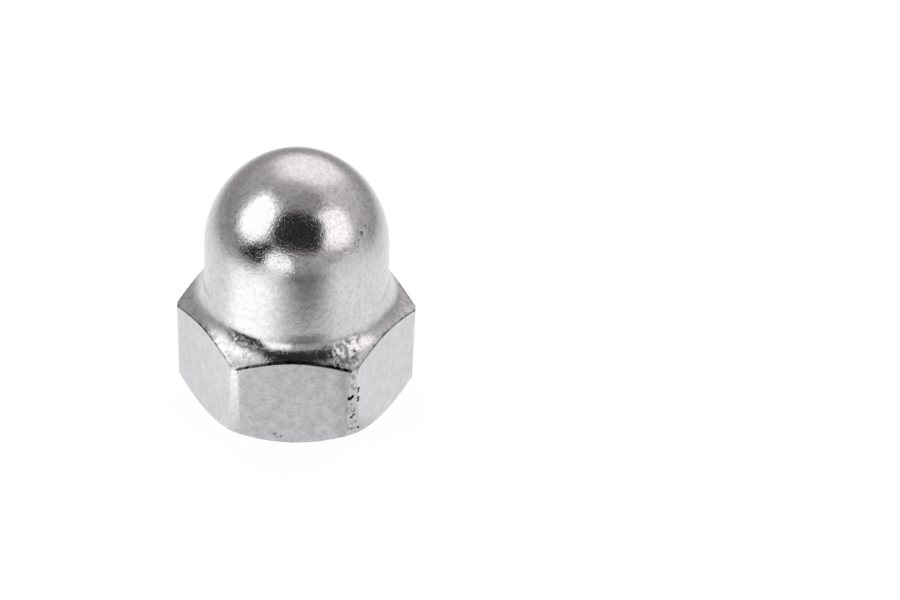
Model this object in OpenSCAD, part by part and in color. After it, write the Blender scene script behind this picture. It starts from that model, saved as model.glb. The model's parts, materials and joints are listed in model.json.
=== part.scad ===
/* [Hexagon] */
// Width across the flats, which is the spanner size
across_flats = 8; // [7.6:0.05:12]
// Height of the upper chamfer's cone as it passes the middle of a flat
flat_h = 3.96; // [3:0.02:6]
// Slope of the upper chamfer, in degrees from level
top_chamfer_slope = 32; // [20:1:40]
// Slope of the lower chamfer, in degrees from level
base_chamfer_slope = 37; // [20:1:45]
// Outer diameter of the flat ring that bears on the work
bearing_d = 7.48; // [6.4:0.02:7.56]
// Width of the blunt strip between two flats, at its dome end
edge_top_w = 0.26; // [0.1:0.01:0.6]
// Width of the same strip at its bearing end
edge_base_w = 0.6; // [0.1:0.01:0.8]

/* [Dome] */
// Overall height, from the bearing ring to the crown
nut_h = 10.44; // [9.6:0.02:14]
// Diameter of the dome's straight wall
dome_d = 7.02; // [5.6:0.02:7.3]
// How much taller the rounded cap is than half a ball
cap_rise = 0.32; // [0.02:0.02:0.8]
// Radius of the hollow fillet from the wall to the upper chamfer's cone
fillet_r = 1.4; // [1.1:0.02:1.6]

/* [Threaded hole] */
// Diameter of the bore at the crests of an M5 x 0.8 thread
bore_d = 4.134; // [3.2:0.002:4.6]
// Depth of the bore's round wall, from the bearing ring
bore_depth = 7.6; // [5:0.05:8.2]
// Full angle of the drill point that ends the bore
drill_point_angle = 118; // [90:1:140]
// Diameter of the countersunk mouth
mouth_d = 5.94; // [5:0.02:6.3]
// Full angle of the countersink
mouth_angle = 90; // [60:1:120]

/* [Hidden] */

$fn = 96;
cut_margin = 0.5;   // how far a cutting shape runs past what it cuts
fillet_dip = 0.001; // how far the fillet cuts below the chamfer, so that it ends in a clean line
flats = 6;

flat_r = across_flats / 2;
corner_r = flat_r / cos(180 / flats);
bearing_r = bearing_d / 2;
dome_r = dome_d / 2;

// Depth that a blunt strip of width w takes off a corner between two flats
function corner_cut(w) = w / 2 * tan(180 / flats);
strip_base_r = corner_r - corner_cut(edge_base_w);
strip_top_r = corner_r - corner_cut(edge_top_w);
strip_lean = atan((strip_top_r - strip_base_r) / flat_h);

// The cap has two arcs that meet smoothly: a wide one at the shoulder
// and a tighter one at the crown.
crown_r = dome_r - cap_rise;
shoulder_r = dome_r + 1.5 * cap_rise;
shoulder_z = nut_h - dome_r - cap_rise;
crown_z = nut_h - crown_r;
shoulder_x = dome_r - shoulder_r;
arc_meet_angle = atan2(crown_z - shoulder_z, -shoulder_x);

// The upper chamfer is a cone that passes the middle of each flat at flat_h.
// The fillet runs from the dome's wall down to that cone and ends outside the
// middle of the flats, so the cone itself is left at the corners only.
function top_cone_z(r) = flat_h + (flat_r - r) * tan(top_chamfer_slope);
function base_cone_z(r) = (r - bearing_r) * tan(base_chamfer_slope);
fillet_x = dome_r + fillet_r;
fillet_z = top_cone_z(fillet_x) + (fillet_r - fillet_dip) / cos(top_chamfer_slope);
fillet_end_r = fillet_x - fillet_r * sin(top_chamfer_slope);
skirt_r = corner_r + cut_margin;

bore_r = bore_d / 2;
mouth_r = mouth_d / 2;
mouth_depth = (mouth_r - bore_r) / tan(mouth_angle / 2);
point_depth = bore_r / tan(drill_point_angle / 2);

// The bar that the nut is cut from, with its corners already blunted
module hexagon_bar() {
    difference() {
        cylinder(r = corner_r, h = nut_h, $fn = flats);
        for (i = [0 : flats - 1])
            rotate(i * 360 / flats)
                translate([strip_base_r, 0, 0])
                    rotate([0, strip_lean, 0])
                        translate([0, -flat_r / 2, -cut_margin])
                            cube([flat_r, flat_r, nut_h + 2 * cut_margin]);
    }
}

// Half section of the cap: the crown's arc over the shoulder's arc
module cap_section() {
    reach = 2 * shoulder_r;
    intersection() {
        translate([shoulder_x, shoulder_z]) circle(shoulder_r);
        polygon([
            [0, shoulder_z],
            [reach, shoulder_z],
            [reach * cos(arc_meet_angle), crown_z + reach * sin(arc_meet_angle)],
            [0, crown_z]
        ]);
    }
    intersection() {
        translate([0, crown_z]) circle(crown_r);
        translate([0, shoulder_z]) square([dome_r, nut_h]);
    }
}

// Half section of everything that is turned: both chamfers, the fillet,
// the dome's wall and its cap
module turned_section() {
    difference() {
        polygon([
            [0, 0],
            [bearing_r, 0],
            [skirt_r, base_cone_z(skirt_r)],
            [skirt_r, top_cone_z(skirt_r)],
            [fillet_end_r, top_cone_z(fillet_end_r)],
            [fillet_x, fillet_z],
            [dome_r, fillet_z],
            [dome_r, shoulder_z],
            [0, shoulder_z]
        ]);
        translate([fillet_x, fillet_z]) circle(fillet_r);
    }
    cap_section();
}

// The hole: countersink, bore at the thread's crests and drill point
module threaded_hole() {
    rotate_extrude()
        polygon([
            [0, -cut_margin],
            [mouth_r + cut_margin * tan(mouth_angle / 2), -cut_margin],
            [bore_r, mouth_depth],
            [bore_r, bore_depth],
            [0, bore_depth + point_depth]
        ]);
}

module cap_nut() {
    color("silver")
        difference() {
            intersection() {
                hexagon_bar();
                rotate_extrude() turned_section();
            }
            threaded_hole();
        }
}

cap_nut();
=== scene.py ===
import json
import math

import bmesh
import bpy
from mathutils import Matrix, Vector


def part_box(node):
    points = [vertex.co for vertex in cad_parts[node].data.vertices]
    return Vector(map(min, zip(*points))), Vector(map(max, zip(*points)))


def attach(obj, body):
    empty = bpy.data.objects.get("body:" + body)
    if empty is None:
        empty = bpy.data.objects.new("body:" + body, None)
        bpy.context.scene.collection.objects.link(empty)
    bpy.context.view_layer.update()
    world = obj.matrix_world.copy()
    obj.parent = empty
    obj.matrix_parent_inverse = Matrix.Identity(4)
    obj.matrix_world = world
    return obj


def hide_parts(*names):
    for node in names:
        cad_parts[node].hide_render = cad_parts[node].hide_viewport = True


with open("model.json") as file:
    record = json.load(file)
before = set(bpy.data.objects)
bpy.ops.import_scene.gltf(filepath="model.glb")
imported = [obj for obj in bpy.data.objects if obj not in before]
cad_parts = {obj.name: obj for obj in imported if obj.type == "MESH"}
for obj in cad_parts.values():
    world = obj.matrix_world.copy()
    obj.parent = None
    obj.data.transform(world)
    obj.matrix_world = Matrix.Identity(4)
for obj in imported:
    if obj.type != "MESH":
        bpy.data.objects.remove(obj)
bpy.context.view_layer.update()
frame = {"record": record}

mm = 0.001
lowCorner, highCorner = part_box("cap_nut")
threadMount = next(m for m in frame["record"]["mounts"] if m["name"] == "thread")

# The nut is modelled in millimetres and brought to metres at the end.
nut = {
    "acrossFlats": (highCorner.y - lowCorner.y) / mm,
    "height": (highCorner.z - lowCorner.z) / mm,
    "flatHeight": 3.96,        # where a flat stands tallest, at its middle
    "topSlope": 32,            # upper chamfer, degrees from level
    "baseSlope": 37,           # lower chamfer, degrees from level
    "bearingRadius": 3.74,
    "domeRadius": 3.51,
    "capRise": 0.32,           # cap taller than half a ball
    "filletRadius": 1.4,
    "stripTop": 0.26,          # blunt strip between two flats, dome end
    "stripBase": 0.6,          # the same strip, bearing end
    "edgeBreak": 0.02,         # rounding of the edges between flats and strips, and at the foot
    "edgeSoftness": 0.11,      # how wide the light rolls over every edge outside
    "mouthRadius": 2.97,
    "boreRadius": threadMount["dims"]["r_mm"],
    "boreDepth": 7.6,
    "pointAngle": 118,         # drill point, full angle
    "turnedPast": 0.5,         # the blank is turned this much wider than the corners
    "turnSteps": 288,          # facets round the turned form
    "filletSteps": 14,         # facets up the fillet, the side of the cap and its crown
    "sideSteps": 26,
    "crownSteps": 18,
}

thread = {
    "pitch": 0.8,
    "rootRadius": 2.5,
    "rootFlat": 0.1,
    "crestRounding": 0.03,
    "startBelow": 1.2,         # the first turn starts this far outside the mouth,
    "endBelow": -0.3,          # and the tap is cut off level here
    "fullTo": 6.1,             # depth of the last full thread
    "fadedAt": 7.1,            # depth where the thread has run out
    "fadedRadius": 1.98,       # what the tap's widest part has shrunk to there
    "fadeSteps": 20,
    "turnSteps": 96,
}

# How close two points of the mesh may be before they count as one, in millimetres.
close = {
    "joined": 0.001,           # ends of a turned form, and one turn of the tap and the next
    "cutEdges": 0.004,         # where the planes of flats and strips cross the facets
    "sliver": 0.0005,
    "plane": 0.00001,
}

flatRadius = nut["acrossFlats"] / 2
cornerRadius = flatRadius / math.cos(math.radians(30))
topRise = math.tan(math.radians(nut["topSlope"]))
baseRise = math.tan(math.radians(nut["baseSlope"]))


def deselectAll():
    if bpy.context.mode != "OBJECT":
        bpy.ops.object.mode_set(mode="OBJECT")
    bpy.ops.object.select_all(action="DESELECT")


def pickOnly(piece):
    deselectAll()
    piece.select_set(True)
    bpy.context.view_layer.objects.active = piece


def pickVerts(piece, wanted):
    # in edit mode: selects the points that wanted(point) accepts
    mesh = bmesh.from_edit_mesh(piece.data)
    for vert in mesh.verts:
        vert.select_set(wanted(vert))
    mesh.select_flush_mode()
    bmesh.update_edit_mesh(piece.data)


def startOutline(name, x, z):
    # one point at (x, 0, z), ready to be extruded along an outline
    deselectAll()
    bpy.ops.mesh.primitive_plane_add(size=1, location=(0, 0, 0))
    piece = bpy.context.active_object
    piece.name = name
    piece.data.name = name
    bpy.ops.object.mode_set(mode="EDIT")
    bpy.ops.mesh.select_mode(type="VERT")
    bpy.ops.mesh.select_all(action="SELECT")
    bpy.ops.mesh.merge(type="CENTER")
    bpy.ops.mesh.select_all(action="SELECT")
    bpy.ops.transform.translate(value=(x, 0, z))
    return piece


def drawLine(points):
    # extrudes the picked point from the first place of the list to the others
    for (x0, z0), (x1, z1) in zip(points, points[1:]):
        bpy.ops.mesh.extrude_region_move(
            TRANSFORM_OT_translate={"value": (x1 - x0, 0, z1 - z0)})


def arc(cx, cz, radius, start, end, steps):
    # points of an arc, both ends included, angles in degrees from +X
    turn = [math.radians(start + (end - start) * i / steps) for i in range(steps + 1)]
    return [(cx + radius * math.cos(a), cz + radius * math.sin(a)) for a in turn]


def turnBlank():
    skirt = cornerRadius + nut["turnedPast"]
    dome = nut["domeRadius"]
    rise = nut["capRise"]
    fillet = nut["filletRadius"]

    filletX = dome + fillet
    filletZ = (nut["flatHeight"] + (flatRadius - filletX) * topRise
               + fillet / math.cos(math.radians(nut["topSlope"])))
    # the cap is a wide arc at the side and a narrower one at the crown, which meet smoothly
    sideShift = 1.5 * rise
    sideRadius = dome + sideShift
    sideZ = nut["height"] - dome - rise
    crownRadius = dome - rise
    crownZ = sideZ + 2 * rise
    meet = math.degrees(math.atan2(crownZ - sideZ, sideShift))
    pointTop = nut["boreDepth"] + nut["boreRadius"] / math.tan(math.radians(nut["pointAngle"] / 2))

    outline = [
        (0, pointTop),
        (nut["boreRadius"], nut["boreDepth"]),
        (nut["boreRadius"], nut["mouthRadius"] - nut["boreRadius"]),
        (nut["mouthRadius"], 0),
        (nut["bearingRadius"], 0),
        (skirt, (skirt - nut["bearingRadius"]) * baseRise),
        (skirt, nut["flatHeight"] + (flatRadius - skirt) * topRise),
    ]
    outline += arc(filletX, filletZ, fillet, 270 - nut["topSlope"], 180, nut["filletSteps"])
    outline += arc(-sideShift, sideZ, sideRadius, 0, meet, nut["sideSteps"])
    outline += arc(0, crownZ, crownRadius, meet, 90, nut["crownSteps"])[1:]

    blank = startOutline("cap_nut_steel", *outline[0])
    drawLine(outline)
    # the bearing ring's two edges are broken before the outline is spun
    pickVerts(blank, lambda v: abs(v.co.z) < close["plane"])
    bpy.ops.mesh.bevel(offset=nut["edgeBreak"], segments=3, affect="VERTICES")
    bpy.ops.mesh.select_all(action="SELECT")
    bpy.ops.mesh.spin(steps=nut["turnSteps"], angle=math.tau, center=(0, 0, 0), axis=(0, 0, 1))
    bpy.ops.mesh.select_all(action="SELECT")
    bpy.ops.mesh.remove_doubles(threshold=close["joined"])
    bpy.ops.mesh.normals_make_consistent(inside=False)
    bpy.ops.object.mode_set(mode="OBJECT")
    return blank


def cutFlats(blank):
    # six flats, then the six blunt strips between them, each cut by a plane
    cutPerWidth = math.tan(math.radians(30)) / 2   # how deep a strip of width 1 cuts the corner
    baseRadius = cornerRadius - nut["stripBase"] * cutPerWidth
    topRadius = cornerRadius - nut["stripTop"] * cutPerWidth
    lean = math.atan2(topRadius - baseRadius, nut["flatHeight"])
    cuts = [(flatRadius, 60 * i + 30, 0) for i in range(6)]
    cuts += [(baseRadius, 60 * i, lean) for i in range(6)]
    pickOnly(blank)
    bpy.ops.object.mode_set(mode="EDIT")
    for radius, azimuth, tilt in cuts:
        turn = math.radians(azimuth)
        bpy.ops.mesh.select_all(action="SELECT")
        bpy.ops.mesh.bisect(
            plane_co=(radius * math.cos(turn), radius * math.sin(turn), 0),
            plane_no=(math.cos(turn) * math.cos(tilt), math.sin(turn) * math.cos(tilt), -math.sin(tilt)),
            use_fill=True, clear_outer=True, threshold=close["plane"])
    bpy.ops.mesh.select_all(action="SELECT")
    bpy.ops.mesh.remove_doubles(threshold=close["cutEdges"])
    bpy.ops.object.mode_set(mode="OBJECT")


def breakEdges(blank):
    # breaks every edge of the flats and strips but the upper outline, which stays a line
    outsideFrom = nut["bearingRadius"] + 0.1
    upperFrom = 3.0            # the upper outline is above this, and rises less than
    upperRise = 1.0            # this from one facet to the next
    sharpFrom = math.radians(22)
    pickOnly(blank)
    bpy.ops.object.mode_set(mode="EDIT")
    mesh = bmesh.from_edit_mesh(blank.data)
    weight = mesh.edges.layers.float.new("bevel_weight_edge")
    for edge in mesh.edges:
        middle = (edge.verts[0].co + edge.verts[1].co) / 2
        outside = math.hypot(middle.x, middle.y) > outsideFrom
        upper = middle.z > upperFrom and abs(edge.verts[0].co.z - edge.verts[1].co.z) < upperRise
        if outside and not upper and edge.calc_face_angle(0) > sharpFrom:
            edge[weight] = 1.0
    bmesh.update_edit_mesh(blank.data)
    bpy.ops.object.mode_set(mode="OBJECT")
    bpy.ops.object.modifier_add(type="BEVEL")
    bevel = blank.modifiers[-1]
    bevel.limit_method = "WEIGHT"
    bevel.width = nut["edgeBreak"]
    bevel.segments = 4
    bevel.use_clamp_overlap = False
    bpy.ops.object.modifier_apply(modifier=bevel.name)


def makeTap():
    pitch = thread["pitch"]
    crest = nut["boreRadius"] + 0.003   # a hair wider than the bore, so that the two walls never coincide
    root = thread["rootRadius"]
    rootFlat = thread["rootFlat"]
    crestFlat = pitch - rootFlat - 2 * (root - crest) * math.tan(math.radians(30))
    start = -thread["startBelow"]
    outline = [
        (crest, start),
        (crest, start + crestFlat / 2),
        (root, start + pitch / 2 - rootFlat / 2),
        (root, start + pitch / 2 + rootFlat / 2),
        (crest, start + pitch - crestFlat / 2),
        (crest, start + pitch),
    ]
    tap = startOutline("tap", *outline[0])
    drawLine(outline)
    inside = close["joined"]
    pickVerts(tap, lambda v: start + inside < v.co.z < start + pitch - inside)
    bpy.ops.mesh.bevel(offset=thread["crestRounding"], segments=3, affect="VERTICES")
    bpy.ops.object.mode_set(mode="OBJECT")

    bpy.ops.object.modifier_add(type="SCREW")
    screw = tap.modifiers[-1]
    screw.axis = "Z"
    screw.screw_offset = pitch
    screw.iterations = math.ceil((thread["fadedAt"] + thread["startBelow"]) / pitch) + 1
    screw.steps = screw.render_steps = thread["turnSteps"]
    bpy.ops.object.modifier_apply(modifier=screw.name)

    bpy.ops.object.mode_set(mode="EDIT")
    bpy.ops.mesh.select_all(action="SELECT")
    bpy.ops.mesh.remove_doubles(threshold=close["joined"])   # one turn joined to the next
    for height, side in ((thread["endBelow"], -1), (thread["fadedAt"], 1)):
        bpy.ops.mesh.select_all(action="SELECT")
        bpy.ops.mesh.bisect(plane_co=(0, 0, height), plane_no=(0, 0, side),
                            use_fill=True, clear_outer=True, threshold=close["plane"])
    # the last turn shrinks step by step, so that the thread runs out
    shrink = (thread["fadedRadius"] / root) ** (1 / thread["fadeSteps"])
    for i in range(thread["fadeSteps"]):
        depth = thread["fullTo"] + (thread["fadedAt"] - thread["fullTo"]) * i / thread["fadeSteps"]
        pickVerts(tap, lambda v: v.co.z > depth)
        bpy.ops.transform.resize(value=(shrink, shrink, 1), center_override=(0, 0, 0))
    # half a facet round, so that the tap's lines cross the blank's facets at their middles
    halfFacet = math.pi / nut["turnSteps"]
    bpy.ops.mesh.select_all(action="SELECT")
    bpy.ops.transform.rotate(value=halfFacet, orient_axis="Z", center_override=(0, 0, 0))
    bpy.ops.mesh.normals_make_consistent(inside=False)
    bpy.ops.object.mode_set(mode="OBJECT")
    return tap


def cutThread(blank, tap):
    pickOnly(blank)
    bpy.ops.object.modifier_add(type="BOOLEAN")
    cut = blank.modifiers[-1]
    cut.operation = "DIFFERENCE"
    cut.solver = "EXACT"
    cut.object = tap
    bpy.ops.object.modifier_apply(modifier=cut.name)
    bpy.ops.object.mode_set(mode="EDIT")
    # the cut leaves slivers, and points in the middle of a straight edge
    bpy.ops.mesh.select_all(action="SELECT")
    bpy.ops.mesh.dissolve_degenerate(threshold=close["sliver"])
    pickVerts(blank, lambda v: len(v.link_edges) == 2)
    bpy.ops.mesh.dissolve_verts()
    deselectAll()
    tap.select_set(True)
    bpy.ops.object.delete()


def onCountersink(middle, normal):
    # true for a face of the mouth's cone, which faces down at 45 degrees
    withinMouth = math.hypot(middle.x, middle.y) < nut["mouthRadius"] * mm
    return withinMouth and abs(normal.z + math.sin(math.radians(45))) < 0.01


def smoothCountersink(mesh):
    # the tap leaves faces of many widths on the mouth's cone, so each corner there takes
    # the cone's own direction
    normals = [corner.vector.copy() for corner in mesh.corner_normals]
    for face in mesh.polygons:
        if onCountersink(face.center, face.normal):
            for i in face.loop_indices:
                spot = mesh.vertices[mesh.loops[i].vertex_index].co
                down = -math.hypot(spot.x, spot.y)
                normals[i] = Vector((-spot.x, -spot.y, down)).normalized()
    mesh.normals_split_custom_set(normals)


def finishShape(blank):
    # metres, and normals that keep the flats flat and the turned faces round
    pickOnly(blank)
    bpy.ops.object.mode_set(mode="EDIT")
    bpy.ops.mesh.select_all(action="SELECT")
    bpy.ops.transform.resize(value=(mm, mm, mm), center_override=(0, 0, 0))
    bpy.ops.object.mode_set(mode="OBJECT")
    bpy.ops.object.shade_smooth_by_angle(angle=math.radians(30))
    # the thread leaves the countersink at a shallow angle, so that line is marked as an edge
    bpy.ops.object.mode_set(mode="EDIT")
    bpy.ops.mesh.select_mode(type="EDGE")
    bpy.ops.mesh.select_all(action="DESELECT")
    mesh = bmesh.from_edit_mesh(blank.data)
    for edge in mesh.edges:
        if len({onCountersink(face.calc_center_median(), face.normal) for face in edge.link_faces}) == 2:
            edge.select_set(True)
    bmesh.update_edit_mesh(blank.data)
    bpy.ops.mesh.mark_sharp()
    bpy.ops.object.mode_set(mode="OBJECT")
    bpy.ops.object.modifier_add(type="WEIGHTED_NORMAL")
    weighted = blank.modifiers[-1]
    weighted.keep_sharp = True
    bpy.ops.object.modifier_apply(modifier=weighted.name)
    smoothCountersink(blank.data)


print("turning the blank")
steelNut = turnBlank()
print("cutting the flats")
cutFlats(steelNut)
breakEdges(steelNut)
print("tapping the hole")
cutThread(steelNut, makeTap())
finishShape(steelNut)
print("nut:", len(steelNut.data.vertices), "points", len(steelNut.data.polygons), "faces")

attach(steelNut, "root")
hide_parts("cap_nut")


# Every finish is given in true size: grains in millimetres, heights in thousandths of one.
finishes = {
    "tumbled": {                # cap, wall, fillet and chamfers
        "colour": (0.665, 0.65, 0.655),
        "roughness": 0.16,
        "grain": 0.08, "grainHeight": 1.9,
        "mottle": 0.22, "mottleHeight": 3.6,
        "roughSwing": 0.14, "shadeSwing": 0.55, "speckle": 0.14,
        "dents": 0.1, "dentFrom": 0.54, "dentHeight": 1.5,
    },
    "drawn": {                  # the six flats
        "colour": (0.66, 0.653, 0.674),
        "roughness": 0.33,
        "grain": 0.09, "grainHeight": 12.0,
        "mottle": 0.4, "mottleHeight": 6.0,
        "roughSwing": 0.25, "shadeSwing": 0.36, "speckle": 0.5,
        "dents": 0.2, "dentFrom": 0.72, "dentHeight": 6.0,
    },
    "corner": {                 # blunt strips between the flats
        "colour": (0.71, 0.7, 0.71),
        "roughness": 0.27,
        "grain": 0.1, "grainHeight": 9.0,
        "mottle": 0.3, "mottleHeight": 12.0,
        "roughSwing": 0.25, "shadeSwing": 0.2, "speckle": 0.4,
        "dents": 0.13, "dentFrom": 0.72, "dentHeight": 9.0,
    },
    "faced": {                  # bearing ring and mouth, turned on a lathe
        "colour": (0.665, 0.655, 0.66),
        "roughness": 0.24,
        "grain": 0.06, "grainHeight": 2.0,
        "mottle": 0.5, "mottleHeight": 3.0,
        "roughSwing": 0.2, "shadeSwing": 0.1, "speckle": 0.1,
        "dents": 0.2, "dentFrom": 0.72, "dentHeight": 3.0,
    },
    "tapped": {                 # thread and bore; their colour, a little darker than the faced steel's, is painted shade for the bore's depth
        "colour": (0.63, 0.62, 0.625),
        "roughness": 0.3,
        "grain": 0.06, "grainHeight": 3.0,
        "mottle": 0.3, "mottleHeight": 4.0,
        "roughSwing": 0.25, "shadeSwing": 0.2, "speckle": 0.1,
        "dents": 0.2, "dentFrom": 0.72, "dentHeight": 4.0,
    },
}

# Small nicks: place on the nut, radius (millimetres) and depth (thousandths).
nicks = [
    (-0.74, -4.0, 0.62, 0.10, 14), (-0.48, -4.0, 0.5, 0.075, 18), (-0.62, -4.0, 0.45, 0.05, 12),
    (2.11, -3.976, 2.36, 0.12, 36), (2.2, -3.92, 2.41, 0.09, 36), (2.16, -3.93, 2.04, 0.06, 24),
    (2.44, -3.786, 2.7, 0.085, 36), (2.44, -3.786, 2.57, 0.08, 34),
    (2.44, -3.786, 2.26, 0.085, 36), (2.44, -3.786, 2.13, 0.075, 34),
    (2.19, -3.93, 1.4, 0.085, 32), (2.27, -3.88, 1.5, 0.07, 30), (2.46, -3.774, 0.79, 0.1, 30),
    (2.08, -3.99, 1.85, 0.17, 9), (2.2, -3.92, 1.1, 0.12, 8), (-1.84, -3.53, 3.99, 0.13, 6),
    (2.6, -1.41, 8.64, 0.13, 14), (2.48, -1.72, 8.52, 0.17, 17), (2.36, -1.95, 8.38, 0.1, 14),
    (2.2, -2.15, 8.35, 0.12, 10), (1.87, -2.52, 8.3, 0.1, 10), (0.92, -1.9, 9.52, 0.1, 8),
]

# Marks that forging and handling left, and painted shade along the hexagon's upper outline. Sizes and
# places are in millimetres, heights in thousandths of one, and shades are a share of the steel's own
# colour. A pair says where a mark fades in: none of it at the first number, all of it at the second.
marks = {
    "dents": {"ramp": 0.09, "shade": -0.06},
    "nicks": {"fade": (1.6, 0.9), "shade": -0.03},   # for each unit of a nick's radius, and of its depth
    "scuffs": {                 # sides of the dome
        "size": 0.13, "cover": (0.5, 0.66), "shade": -0.18,
        "above": (7.7, 8.1), "fromAxis": (0.9, 1.7),
    },
    "shoulder": {"below": (4.85, 4.5), "above": (3.4, 3.56)},   # foot of the wall, and upper chamfer
    "outline": {                # painted shade: a dark line inside the hexagon's upper outline, for the dark its rounded edge mirrors
        "width": 0.035, "fade": (0.04, 0.0), "shade": -0.4,
        "front": (0.0, -0.12), "frontWidth": 0.045, "frontShade": -0.35,   # more painted shade over the front flat
    },
    "dull": {                   # upper chamfer
        "rough": 0.14, "fromStart": (0.0, 0.15), "fromFlat": (0.1, 0.18),
        "sides": (-1.6, -1.0), "starts": (3.57, 3.86),   # it starts nearer the axis at the left
    },
    "stains": {                 # upper chamfer, over the corners
        "size": 0.26, "cover": (0.48, 0.66), "shade": -0.3, "fromAxis": (3.8, 3.95),
    },
    "scale": {                  # foot of the wall over the corners, most of all over the front two
        "size": 0.2, "height": 30.0, "cover": (0.58, 0.42), "share": (0.05, 0.8), "shade": -0.8,
        "fromCorner": (0.32, 0.14), "fromAxis": (3.55, 3.68), "left": (-2.75, -2.4), "right": (2.55, 2.3),
        "fromEnd": (0.0, -0.18), "sides": (-0.5, 1.5), "ends": (3.92, 4.4),   # it reaches out at the right
        "forward": (-2.0, -3.0), "backShare": 0.25,
    },
    "chips": {                  # strips between the flats, most of all the right front one
        "size": 0.26, "cover": (0.56, 0.63), "height": -18.0, "shade": -0.4,
        "right": (-1.0, 1.6), "forward": (1.0, -1.0), "leastShare": 0.15,
    },
    "flats": {
        "coarse": (-3.7, -3.95), "backShare": 0.3,   # the front flat is the coarsest
        "patchShade": 0.35,
        "lineStretch": (9, 9, 0.35), "lineHeight": 1.6,   # die lines along the bar
    },
    "wear": {                   # flats, rubbed brighter at their edges
        "fade": (0.33, 0.08), "unevenSize": 0.3, "uneven": 0.25, "stripWidth": 0.2,
        "rough": -0.12, "shade": 0.06,
    },
    "darkRightSide": {                 # front flat, darker down its right side
        "size": 0.5, "cover": (0.25, 0.6), "share": (0.4, 1.0), "shade": -0.2,
        "right": (1.35, 2.0), "forward": (-3.9, -3.97),
    },
    "rings": {"size": 0.05, "height": 1.6, "stretch": 0.3},   # bearing ring, mouth and thread
}

halfFlatAngle = math.radians(30)   # from a corner to the middle of a flat


def addNode(tree, kind, feeds=None, **settings):
    node = tree.nodes.new(kind)
    for key, value in settings.items():
        setattr(node, key, value)
    for socket, value in (feeds or {}).items():
        if isinstance(value, bpy.types.NodeSocket):
            tree.links.new(value, node.inputs[socket])
        else:
            node.inputs[socket].default_value = value
    return node


def reckon(tree, operation, first, second=0.0, third=0.0):
    feeds = {0: first, 1: second, 2: third}
    return addNode(tree, "ShaderNodeMath", feeds, operation=operation).outputs[0]


def product(tree, first, *others):
    for other in others:
        first = reckon(tree, "MULTIPLY", first, other)
    return first


def gap(tree, first, second):
    return reckon(tree, "ABSOLUTE", reckon(tree, "SUBTRACT", first, second))


def ease(tree, value, start, end, low=0.0, high=1.0):
    # low before start, high past end, and a smooth step between
    feeds = {"Value": value, "From Min": start, "From Max": end, "To Min": low, "To Max": high}
    return addNode(tree, "ShaderNodeMapRange", feeds, interpolation_type="SMOOTHSTEP").outputs["Result"]


def noise(tree, place, size, detail=2.0, harshness=0.5):
    # cloudy pattern with features of the given size in millimetres
    feeds = {"Vector": place, "Scale": 1 / size, "Detail": detail, "Roughness": harshness}
    return addNode(tree, "ShaderNodeTexNoise", feeds).outputs["Fac"]


def placeOnNut(tree, stretch=(1, 1, 1)):
    # the nut's own coordinates, in millimetres
    own = addNode(tree, "ShaderNodeTexCoord").outputs["Object"]
    scale = tuple(s / mm for s in stretch)
    return addNode(tree, "ShaderNodeMapping", {"Vector": own, "Scale": scale}).outputs["Vector"]


def fromAxis(tree, x, y):
    squares = reckon(tree, "ADD", product(tree, x, x), product(tree, y, y))
    return reckon(tree, "SQRT", squares)


def lay(tree, steel, layer, pattern, amount):
    # adds the pattern times the amount to the steel's height, rough or shade
    steel[layer] = reckon(tree, "MULTIPLY_ADD", pattern, amount, steel[layer])


def startSteel(tree, look):
    # where a point is on the nut, and the grain, mottle and dents that every finish has
    place = placeOnNut(tree)
    x, y, z = addNode(tree, "ShaderNodeSeparateXYZ", {0: place}).outputs
    grain = noise(tree, place, look["grain"])
    mottle = noise(tree, place, look["mottle"], detail=3.0, harshness=0.55)
    pits = noise(tree, place, look["dents"], detail=1.0, harshness=0.4)
    dents = ease(tree, pits, look["dentFrom"], look["dentFrom"] + marks["dents"]["ramp"])
    steel = {
        "place": place, "x": x, "y": y, "z": z,
        "distance": fromAxis(tree, x, y),
        "fromCorner": reckon(tree, "PINGPONG", reckon(tree, "ARCTAN2", y, x), halfFlatAngle),
        "grain": grain,
        "mottle": mottle,
        "height": reckon(tree, "MULTIPLY", grain, look["grainHeight"]),
        "rough": look["roughness"] - 0.5 * look["roughSwing"],
        "shade": 1 - 0.5 * look["shadeSwing"],
    }
    lay(tree, steel, "height", mottle, look["mottleHeight"])
    lay(tree, steel, "height", dents, -look["dentHeight"])
    lay(tree, steel, "rough", mottle, look["roughSwing"])
    lay(tree, steel, "shade", mottle, look["shadeSwing"])
    lay(tree, steel, "shade", dents, marks["dents"]["shade"])
    return steel


def addNicks(tree, steel):
    nearly, fully = marks["nicks"]["fade"]
    for x, y, z, radius, depth in nicks:
        away = addNode(tree, "ShaderNodeVectorMath", {0: steel["place"], 1: (x, y, z)},
                       operation="DISTANCE").outputs["Value"]
        ragged = reckon(tree, "MULTIPLY_ADD", steel["grain"], radius, away)
        nick = ease(tree, ragged, nearly * radius, fully * radius)
        lay(tree, steel, "height", nick, -depth)
        lay(tree, steel, "shade", nick, marks["nicks"]["shade"] * depth)


def cover(tree, steel, mark, harshness=0.5):
    # clouds of the mark's own size, of which only patches are left
    cloud = noise(tree, steel["place"], mark["size"], harshness=harshness)
    return ease(tree, cloud, *mark["cover"], *mark.get("share", (0.0, 1.0)))


def scuffDome(tree, steel):
    mark = marks["scuffs"]
    scuffs = product(tree, cover(tree, steel, mark), ease(tree, steel["z"], *mark["above"]),
                     ease(tree, steel["distance"], *mark["fromAxis"]))
    lay(tree, steel, "shade", scuffs, mark["shade"])


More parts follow.
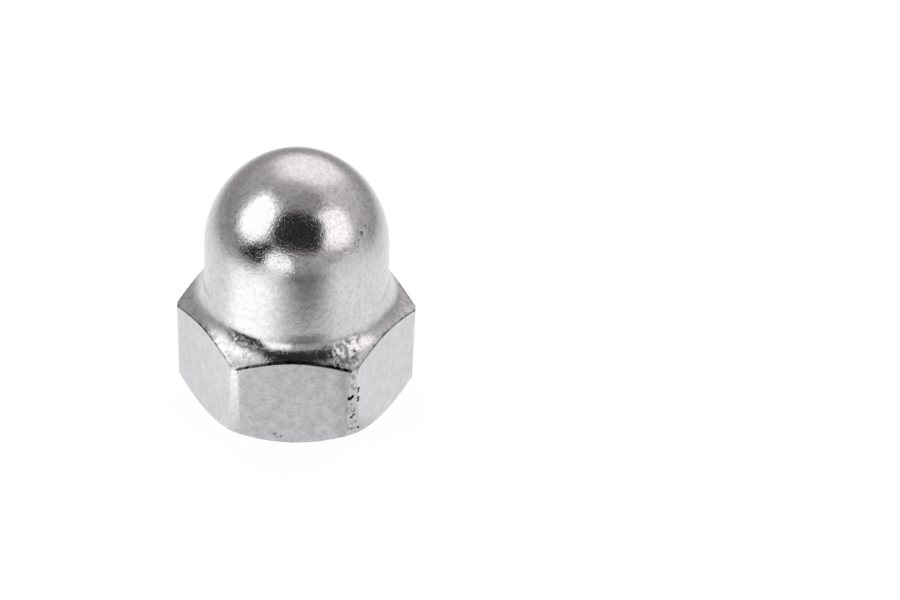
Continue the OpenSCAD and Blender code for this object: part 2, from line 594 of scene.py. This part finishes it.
def paintOutlineShade(tree, steel, shoulder, fromFlat):
    # painted shade: the dark line that the rounded upper outline mirrors, darkest over the front flat
    mark = marks["outline"]
    besideFront = reckon(tree, "MULTIPLY_ADD", steel["y"], math.tan(halfFlatAngle),
                         reckon(tree, "ABSOLUTE", steel["x"]))
    front = ease(tree, besideFront, *mark["front"])
    width = reckon(tree, "MULTIPLY_ADD", front, mark["frontWidth"], mark["width"])
    shade = reckon(tree, "MULTIPLY_ADD", front, mark["frontShade"], mark["shade"])
    paintedRim = ease(tree, reckon(tree, "SUBTRACT", fromFlat, width), *mark["fade"])
    lay(tree, steel, "shade", product(tree, paintedRim, shoulder), shade)


def dullChamfer(tree, steel, low, fromFlat):
    mark = marks["dull"]
    start = ease(tree, steel["x"], *mark["sides"], *mark["starts"])
    fromStart = reckon(tree, "SUBTRACT", steel["distance"], start)
    dull = product(tree, low, ease(tree, fromStart, *mark["fromStart"]),
                   ease(tree, fromFlat, *mark["fromFlat"]))
    lay(tree, steel, "rough", dull, mark["rough"])


def stainChamfer(tree, steel, shoulder):
    mark = marks["stains"]
    stains = product(tree, cover(tree, steel, mark), shoulder,
                     ease(tree, steel["distance"], *mark["fromAxis"]))
    lay(tree, steel, "shade", stains, mark["shade"])


def leaveScale(tree, steel, shoulder):
    mark = marks["scale"]
    end = ease(tree, steel["x"], *mark["sides"], *mark["ends"])
    zone = product(tree, shoulder,
                   ease(tree, steel["fromCorner"], *mark["fromCorner"]),
                   ease(tree, reckon(tree, "SUBTRACT", steel["distance"], end), *mark["fromEnd"]),
                   ease(tree, steel["distance"], *mark["fromAxis"]),
                   ease(tree, steel["x"], *mark["right"]),
                   ease(tree, steel["x"], *mark["left"]),
                   ease(tree, steel["y"], *mark["forward"], mark["backShare"], 1.0))
    crust = noise(tree, steel["place"], mark["size"])
    lay(tree, steel, "height", product(tree, zone, crust), mark["height"])
    scale = product(tree, zone, ease(tree, crust, *mark["cover"], *mark["share"]))
    lay(tree, steel, "shade", scale, mark["shade"])


def markShoulder(tree, steel):
    low = ease(tree, steel["z"], *marks["shoulder"]["below"])
    shoulder = product(tree, low, ease(tree, steel["z"], *marks["shoulder"]["above"]))
    fromMiddle = reckon(tree, "COSINE", reckon(tree, "SUBTRACT", halfFlatAngle, steel["fromCorner"]))
    fromFlat = reckon(tree, "SUBTRACT", flatRadius, product(tree, steel["distance"], fromMiddle))
    paintOutlineShade(tree, steel, shoulder, fromFlat)
    dullChamfer(tree, steel, low, fromFlat)
    stainChamfer(tree, steel, shoulder)
    leaveScale(tree, steel, shoulder)


def chipStrips(tree, steel):
    mark = marks["chips"]
    rightFront = product(tree, ease(tree, steel["x"], *mark["right"]),
                         ease(tree, steel["y"], *mark["forward"]))
    share = reckon(tree, "MULTIPLY_ADD", rightFront, 1 - mark["leastShare"], mark["leastShare"])
    chips = product(tree, cover(tree, steel, mark, harshness=0.55), share)
    lay(tree, steel, "height", chips, mark["height"])
    lay(tree, steel, "shade", chips, mark["shade"])


def edgeWear(tree, steel):
    # 1 at an edge of a flat, fading to 0 inside a quarter of a millimetre
    mark = marks["wear"]
    distance, z = steel["distance"], steel["z"]
    top = reckon(tree, "MULTIPLY_ADD", distance, -topRise, nut["flatHeight"] + flatRadius * topRise)
    foot = reckon(tree, "MULTIPLY_ADD", distance, baseRise, -nut["bearingRadius"] * baseRise)
    side = product(tree, distance, reckon(tree, "SINE", steel["fromCorner"]))
    nearest = reckon(tree, "MINIMUM", gap(tree, top, z), gap(tree, z, foot))
    nearest = reckon(tree, "MINIMUM", nearest, reckon(tree, "SUBTRACT", side, mark["stripWidth"]))
    cloud = noise(tree, steel["place"], mark["unevenSize"])
    return ease(tree, reckon(tree, "MULTIPLY_ADD", cloud, mark["uneven"], nearest), *mark["fade"])


def markFlats(tree, steel, coarse):
    mark = marks["flats"]
    patches = product(tree, coarse, reckon(tree, "SUBTRACT", steel["mottle"], 0.5))
    lay(tree, steel, "shade", patches, mark["patchShade"])
    lines = noise(tree, placeOnNut(tree, mark["lineStretch"]), 1.0)
    lay(tree, steel, "height", lines, mark["lineHeight"])
    wear = edgeWear(tree, steel)
    lay(tree, steel, "rough", wear, marks["wear"]["rough"])
    lay(tree, steel, "shade", wear, marks["wear"]["shade"])
    mark = marks["darkRightSide"]
    darkRightSide = product(tree, ease(tree, steel["x"], *mark["right"]), ease(tree, steel["y"], *mark["forward"]),
                     cover(tree, steel, mark))
    lay(tree, steel, "shade", darkRightSide, mark["shade"])


def addRings(tree, steel):
    # fine turning marks round the axis
    mark = marks["rings"]
    across = {0: steel["distance"], 1: product(tree, steel["z"], mark["stretch"])}
    rings = noise(tree, addNode(tree, "ShaderNodeCombineXYZ", across).outputs[0], mark["size"])
    lay(tree, steel, "height", rings, mark["height"])


def makeSteel(finishName):
    look = finishes[finishName]
    material = bpy.data.materials.new(finishName + "_steel")
    material.use_nodes = True
    tree = material.node_tree
    shader = tree.nodes["Principled BSDF"]
    steel = startSteel(tree, look)
    outside = finishName in ("tumbled", "drawn", "corner")
    coarse = 1.0
    if finishName == "drawn":
        coarse = ease(tree, steel["y"], *marks["flats"]["coarse"], marks["flats"]["backShare"], 1.0)
    speckle = product(tree, reckon(tree, "SUBTRACT", steel["grain"], 0.5), coarse)
    lay(tree, steel, "shade", speckle, look["speckle"])
    if outside:
        addNicks(tree, steel)
    else:
        addRings(tree, steel)
    if finishName == "tumbled":
        scuffDome(tree, steel)
        markShoulder(tree, steel)
    elif finishName == "drawn":
        markFlats(tree, steel, coarse)
    elif finishName == "corner":
        chipStrips(tree, steel)

    colour = addNode(tree, "ShaderNodeVectorMath", {0: look["colour"], "Scale": steel["shade"]},
                     operation="SCALE").outputs["Vector"]
    micron = 0.001 * mm        # what the heights are given in
    bump = addNode(tree, "ShaderNodeBump",
                   {"Height": steel["height"], "Distance": micron, "Strength": 1.0})
    if outside:
        soft = addNode(tree, "ShaderNodeBevel", {"Radius": nut["edgeSoftness"] * mm}, samples=6)
        tree.links.new(soft.outputs["Normal"], bump.inputs["Normal"])
    tree.links.new(colour, shader.inputs["Base Color"])
    tree.links.new(steel["rough"], shader.inputs["Roughness"])
    tree.links.new(bump.outputs["Normal"], shader.inputs["Normal"])
    shader.inputs["Metallic"].default_value = 1
    return material


# Where one finish ends and the next begins, in millimetres.
borders = {
    "pointTop": 9.0,           # near the axis, what is lower than this is bore or drill point
    "threadTop": 7.9,
    "threadRadius": 2.6,
    "mouthTop": 1.0,
    "hexagonFrom": 3.9,        # flats and strips are further from the axis than this
    "margin": 0.02,
    "square": 0.9999,          # how squarely a face of a flat looks out, 1 at most,
    "nearlySquare": 0.97,      # and a face of a strip or of its broken edges
    "up": 0.9,
}


def looksOut(face, azimuth):
    # how squarely the face looks out at so many degrees round the axis
    turn = math.radians(azimuth)
    return face.normal.dot(Vector((math.cos(turn), math.sin(turn), 0)))


def finishOf(face):
    # which finish a face carries, told from its place and the way it faces
    middle = face.center / mm
    distance = math.hypot(middle.x, middle.y)
    if onCountersink(face.center, face.normal):
        return "faced"
    if middle.z < borders["pointTop"] and distance < nut["boreRadius"] + borders["margin"]:
        return "tapped"
    inThread = middle.z < borders["threadTop"] and distance < borders["threadRadius"]
    if inThread and face.normal.z < borders["up"]:
        return "tapped"
    if middle.z < borders["mouthTop"] and distance < nut["bearingRadius"] + borders["margin"]:
        return "faced"
    onHexagon = distance > borders["hexagonFrom"]
    if onHexagon and any(looksOut(face, 60 * i + 30) > borders["square"] for i in range(6)):
        return "drawn"
    if onHexagon and any(looksOut(face, 60 * i) > borders["nearlySquare"] for i in range(6)):
        return "corner"
    return "tumbled"


steelNut.data.materials.clear()
finishOrder = list(finishes)
for finishName in finishOrder:
    steelNut.data.materials.append(makeSteel(finishName))
for face in steelNut.data.polygons:
    face.material_index = finishOrder.index(finishOf(face))
carried = [face.material_index for face in steelNut.data.polygons]
print("finishes:", {name: carried.count(i) for i, name in enumerate(finishOrder)})

shot = {
    "aim": Vector((5.844, 0.0, 4.066)) * mm,
    "distance": 308.7 * mm,
    "tilt": 37.94,             # degrees above level
    "turn": -0.47,             # degrees round the nut
    "roll": 1.29,
    "lens": 324.6,
    "sensor": 36,
    "sees": (0.01, 20),        # nearest and farthest, metres
}


def placeCamera():
    deselectAll()
    turned = (Matrix.Rotation(math.radians(shot["turn"]), 3, "Z")
              @ Matrix.Rotation(math.radians(90 - shot["tilt"]), 3, "X")
              @ Matrix.Rotation(math.radians(shot["roll"]), 3, "Z"))
    spot = shot["aim"] + turned @ Vector((0, 0, shot["distance"]))
    bpy.ops.object.camera_add(location=spot, rotation=turned.to_euler())
    camera = bpy.context.active_object
    camera.data.lens = shot["lens"]
    camera.data.sensor_width = shot["sensor"]
    camera.data.clip_start, camera.data.clip_end = shot["sees"]
    bpy.context.scene.camera = camera


placeCamera()


# A table with a white sheet, three soft boxes and the dark of the room by the camera.
# Places are as seen from the nut: degrees round it, 0 at the camera and 90 at its right,
# and degrees above level. A card is as many degrees wide and tall as it looks from there.
studio = {
    "middle": Vector((0, 0, 6)) * mm,
    "roomRadius": 1.4,
    "roomTint": (1.03, 1.0, 1.01),
    "roomFoot": 0.4,           # the room's brightness at table level,
    "roomSide": 0.57,          # and higher up
    "roomTop": 0.78,           # share of it that is left overhead
    "roomRise": (0.0, 0.5),    # heights where it changes, 1 at the very top
    "roomOver": (0.8, 1.0),
    "roomLean": 0.25,          # how much brighter the right is than the middle
    "squareness": 3.0,         # of the cards' soft outline: 2 is round
    "cards": [
        {"name": "left_soft_box", "round": -74, "above": 36.5, "away": 0.45, "wide": 60, "tall": 61,
         "spin": 0, "soft": 0.55, "level": 1.85, "tint": (1.0, 1.0, 1.0)},
        {"name": "right_soft_box", "round": 63, "above": 31, "away": 0.45, "wide": 58, "tall": 47,
         "spin": -25, "soft": 0.4, "level": 1.45, "tint": (1.02, 1.0, 1.0)},
        {"name": "back_soft_box", "round": 166, "above": 42, "away": 0.5, "wide": 76, "tall": 76,
         "spin": 0, "soft": 0.6, "level": 1.18, "tint": (1.025, 1.0, 1.0)},
        {"name": "grey_overhead", "round": 32, "above": 71, "away": 0.4, "wide": 62, "tall": 36,
         "spin": 0, "soft": 0.4, "level": 0.34, "tint": (1.04, 1.0, 1.01)},
        {"name": "dark_by_camera", "round": 3.5, "above": 41.5, "away": 0.28, "wide": 78, "tall": 54,
         "spin": -6, "soft": 0.33, "level": 0.025, "tint": (1.0, 1.0, 1.0)},
        {"name": "dark_low_left", "round": -50, "above": 4, "away": 0.26, "wide": 56, "tall": 34,
         "spin": 36, "soft": 0.25, "level": 0.01, "tint": (1.0, 1.0, 1.0)},
        {"name": "white_low_left", "round": -21, "above": 2, "away": 0.25, "wide": 38, "tall": 34,
         "spin": 0, "soft": 0.25, "level": 1.5, "tint": (1.0, 1.0, 1.0)},
    ],
}


def bareMaterial(piece, name):
    # puts a material on the piece, with no nodes in it yet
    material = bpy.data.materials.new(name)
    material.use_nodes = True
    material.node_tree.nodes.clear()
    piece.data.materials.append(material)
    return material


def hangCard(card):
    # a glowing or dark card with soft edges, turned to the nut and hidden from the camera
    turn = math.radians(card["round"])
    rise = math.radians(card["above"])
    toCard = Vector((math.sin(turn) * math.cos(rise), -math.cos(turn) * math.cos(rise), math.sin(rise)))
    facing = toCard.to_track_quat("Z", "Y").to_matrix() @ Matrix.Rotation(math.radians(card["spin"]), 3, "Z")
    width, height = [2 * card["away"] * math.tan(math.radians(card[side] / 2)) for side in ("wide", "tall")]
    deselectAll()
    bpy.ops.mesh.primitive_plane_add(size=1, location=studio["middle"] + toCard * card["away"],
                                     rotation=facing.to_euler())
    plane = bpy.context.active_object
    plane.name = card["name"]
    plane.scale = (width, height, 1)
    plane.visible_camera = False

    tree = bareMaterial(plane, card["name"]).node_tree
    own = addNode(tree, "ShaderNodeTexCoord").outputs["Object"]
    split = addNode(tree, "ShaderNodeSeparateXYZ", {0: own})
    power = studio["squareness"]
    across, along = [
        reckon(tree, "POWER", reckon(tree, "ABSOLUTE", product(tree, side, 2.0)), power)
        for side in split.outputs[:2]
    ]
    fromMiddle = reckon(tree, "POWER", reckon(tree, "ADD", across, along), 1 / power)
    mask = ease(tree, fromMiddle, 1.0, 1.0 - card["soft"])
    glow = addNode(tree, "ShaderNodeEmission", {"Color": (*card["tint"], 1), "Strength": card["level"]})
    clear = addNode(tree, "ShaderNodeBsdfTransparent")
    mixed = addNode(tree, "ShaderNodeMixShader", {0: mask, 1: clear.outputs[0], 2: glow.outputs[0]})
    addNode(tree, "ShaderNodeOutputMaterial", {"Surface": mixed.outputs[0]})


def buildRoom():
    # a pale ball round everything, which the steel mirrors and the camera does not see
    deselectAll()
    bpy.ops.mesh.primitive_uv_sphere_add(segments=48, ring_count=24, radius=studio["roomRadius"])
    room = bpy.context.active_object
    room.name = "room"
    bpy.ops.object.shade_smooth()
    room.visible_camera = False
    material = bareMaterial(room, "room")
    material.cycles.emission_sampling = "NONE"
    tree = material.node_tree
    own = addNode(tree, "ShaderNodeTexCoord").outputs["Object"]
    split = addNode(tree, "ShaderNodeSeparateXYZ", {0: own})
    rise = reckon(tree, "DIVIDE", split.outputs[2], studio["roomRadius"])
    side = reckon(tree, "DIVIDE", split.outputs[0], studio["roomRadius"])
    level = product(tree, ease(tree, rise, *studio["roomRise"], studio["roomFoot"], studio["roomSide"]),
                    ease(tree, rise, *studio["roomOver"], 1.0, studio["roomTop"]),
                    reckon(tree, "MULTIPLY_ADD", side, studio["roomLean"], 1.0))
    glow = addNode(tree, "ShaderNodeEmission", {"Color": (*studio["roomTint"], 1), "Strength": level})
    addNode(tree, "ShaderNodeOutputMaterial", {"Surface": glow.outputs[0]})


# The white sheet under the nut. Where the steel mirrors it, it carries painted light and shade: it is
# brightest round the nut and at its front left, with a painted shadow towards the camera. Directions
# are in degrees as above, distances from the nut's axis in millimetres.
sheet = {
    "size": 4,                 # metres
    "below": 0.01,             # millimetres under the nut
    "paint": 0.9,              # its white under the room's light
    "unshaded": 0.9,           # share of its white that no shadow dims
    "seenGlow": 1.05,          # brightness of that share as the camera sees it
    "byNut": 1.01,             # brightness round the nut,
    "farOff": (0.38, 0.85),    # and far from it: least, and most towards the right
    "farRound": 63,
    "farFade": (48, 14),
    "farFrom": (9.0, 52.0),
    # A patch fades in between the two angles off its direction, and over each reach: from, to,
    # and what it is before and after, where that isn't 0 and 1.
    # painted shadows, which the steel sees in the sheet and the camera does not
    "darker": [
        {"round": 8, "fade": (50, 38), "reach": [(10.5, 8.5)], "by": 0.25},
        {"round": 12, "fade": (40, 2), "reach": [(8.6, 12.4), (90.0, 45.0, 0.35, 1.0)], "by": 0.79},
    ],
    # painted pools of light, which the steel sees in the sheet and the camera does not
    "brighter": [
        {"round": -50, "fade": (42, 8), "reach": [(70.0, 25.0), (5.5, 9.5)], "by": 0.6},
        {"round": -28, "fade": (24, 8), "reach": [(22.0, 60.0)], "by": 0.65},
    ],
}


def nearDirection(tree, azimuth, direction, fade, low=0.0, high=1.0):
    # high towards the direction, low away from it
    offBy = gap(tree, azimuth, math.radians(direction))
    return ease(tree, offBy, math.radians(fade[0]), math.radians(fade[1]), low, high)


def sheetPatch(tree, patch, azimuth, distance):
    reaches = [ease(tree, distance, *reach) for reach in patch["reach"]]
    return product(tree, nearDirection(tree, azimuth, patch["round"], patch["fade"]), *reaches)


def paintedSheetLight(tree):
    # painted light and shade of the sheet as the steel mirrors it, with a painted shadow towards the camera
    x, y = addNode(tree, "ShaderNodeSeparateXYZ", {0: placeOnNut(tree)}).outputs[:2]
    distance = fromAxis(tree, x, y)
    azimuth = reckon(tree, "ARCTAN2", x, product(tree, y, -1.0))
    far = nearDirection(tree, azimuth, sheet["farRound"], sheet["farFade"], *sheet["farOff"])
    change = reckon(tree, "SUBTRACT", far, sheet["byNut"])
    sheen = reckon(tree, "MULTIPLY_ADD", ease(tree, distance, *sheet["farFrom"]), change, sheet["byNut"])
    for patch in sheet["darker"]:
        left = reckon(tree, "MULTIPLY_ADD", sheetPatch(tree, patch, azimuth, distance), -patch["by"], 1.0)
        sheen = product(tree, sheen, left)
    for patch in sheet["brighter"]:
        sheen = reckon(tree, "MULTIPLY_ADD", sheetPatch(tree, patch, azimuth, distance), patch["by"], sheen)
    return sheen


def layFloor():
    deselectAll()
    bpy.ops.mesh.primitive_plane_add(size=sheet["size"], location=(0, 0, -sheet["below"] * mm))
    floor = bpy.context.active_object
    floor.name = "floor"
    material = bareMaterial(floor, "white_sheet")
    material.cycles.emission_sampling = "NONE"
    tree = material.node_tree
    light = addNode(tree, "ShaderNodeLightPath").outputs
    # glossy rays see the sheet's painted light and shade, while the camera sees an even white
    level = addNode(tree, "ShaderNodeMix", {
        "Factor": light["Is Glossy Ray"], "A": sheet["seenGlow"], "B": paintedSheetLight(tree)})
    seen = reckon(tree, "MAXIMUM", light["Is Camera Ray"], light["Is Transmission Ray"])
    seen = reckon(tree, "MAXIMUM", seen, light["Is Glossy Ray"])
    share = product(tree, seen, sheet["unshaded"])
    glow = addNode(tree, "ShaderNodeEmission", {"Color": (1, 1, 1, 1), "Strength": level.outputs["Result"]})
    matt = addNode(tree, "ShaderNodeBsdfDiffuse", {"Color": (*[sheet["paint"]] * 3, 1)})
    white = addNode(tree, "ShaderNodeMixShader", {0: share, 1: matt.outputs[0], 2: glow.outputs[0]})
    # clear from below, so that the thread can be looked at through the table
    below = addNode(tree, "ShaderNodeNewGeometry").outputs["Backfacing"]
    clear = addNode(tree, "ShaderNodeBsdfTransparent")
    mixed = addNode(tree, "ShaderNodeMixShader", {0: below, 1: white.outputs[0], 2: clear.outputs[0]})
    addNode(tree, "ShaderNodeOutputMaterial", {"Surface": mixed.outputs[0]})


def whiteWorld():
    # white past the edge of the floor; the room covers it from the nut
    world = bpy.data.worlds.new("studio")
    bpy.context.scene.world = world
    world.use_nodes = True
    world.node_tree.nodes["Background"].inputs["Color"].default_value = (1, 1, 1, 1)


print("setting up the studio")
for card in studio["cards"]:
    hangCard(card)
buildRoom()
layFloor()
whiteWorld()
bpy.context.scene.view_settings.view_transform = "Standard"
